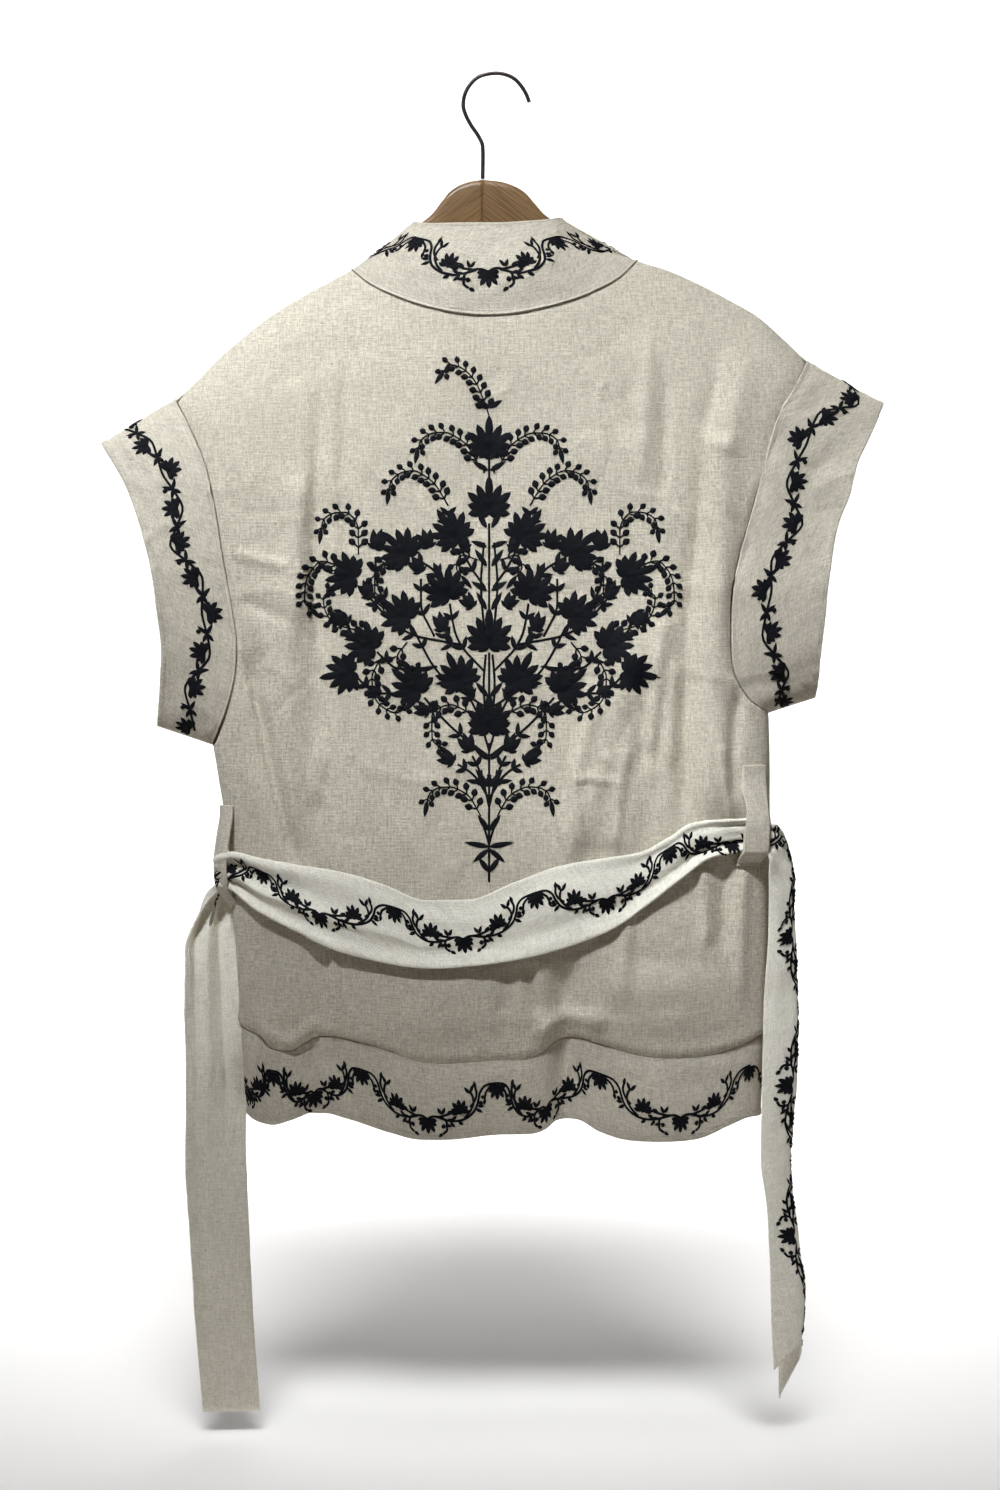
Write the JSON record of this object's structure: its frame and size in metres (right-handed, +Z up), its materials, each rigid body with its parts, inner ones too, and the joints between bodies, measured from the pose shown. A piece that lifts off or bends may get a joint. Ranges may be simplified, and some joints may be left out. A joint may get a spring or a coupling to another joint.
{
  "type": "waistcoat with an embroidered neckband and sash, on a wooden hanger",
  "caption": "Open-fronted cap-sleeve waistcoat in slubby linen with a neckband, hem border and a long looped sash, draped on a flat wooden hanger with a wire hook",
  "frame": {"origin": "the bearing point inside the top of the hanger's hook, on the middle plane of the wire", "axes": "+Z up; the back of the garment faces -Y and the open fronts face +Y; the wearer's left is at -X"},
  "size_m": [0.5885, 0.1187, 1.0052],
  "materials": {
    "linen": "matte slubby weave",
    "band_linen": "matte slubby weave, embroidered in black",
    "sash_linen": "matte weave, paler",
    "oak": "satin varnish, mitred at the centre",
    "hook_steel": "dark, dull"
  },
  "bodies": {
    "root": {"back_panel": "linen", "front_panel_left": "linen", "front_panel_right": "linen", "neckband": "band_linen", "sleeve_band_left": "band_linen", "sleeve_band_right": "band_linen", "hem_band_back": "band_linen", "hem_band_front_left": "band_linen", "hem_band_front_right": "band_linen", "belt": "sash_linen", "belt_loop_left": "sash_linen", "belt_loop_right": "sash_linen", "hanger_arm_left": "oak", "hanger_arm_right": "oak", "hanger_hook": "hook_steel"}
  },
  "joints": []
}
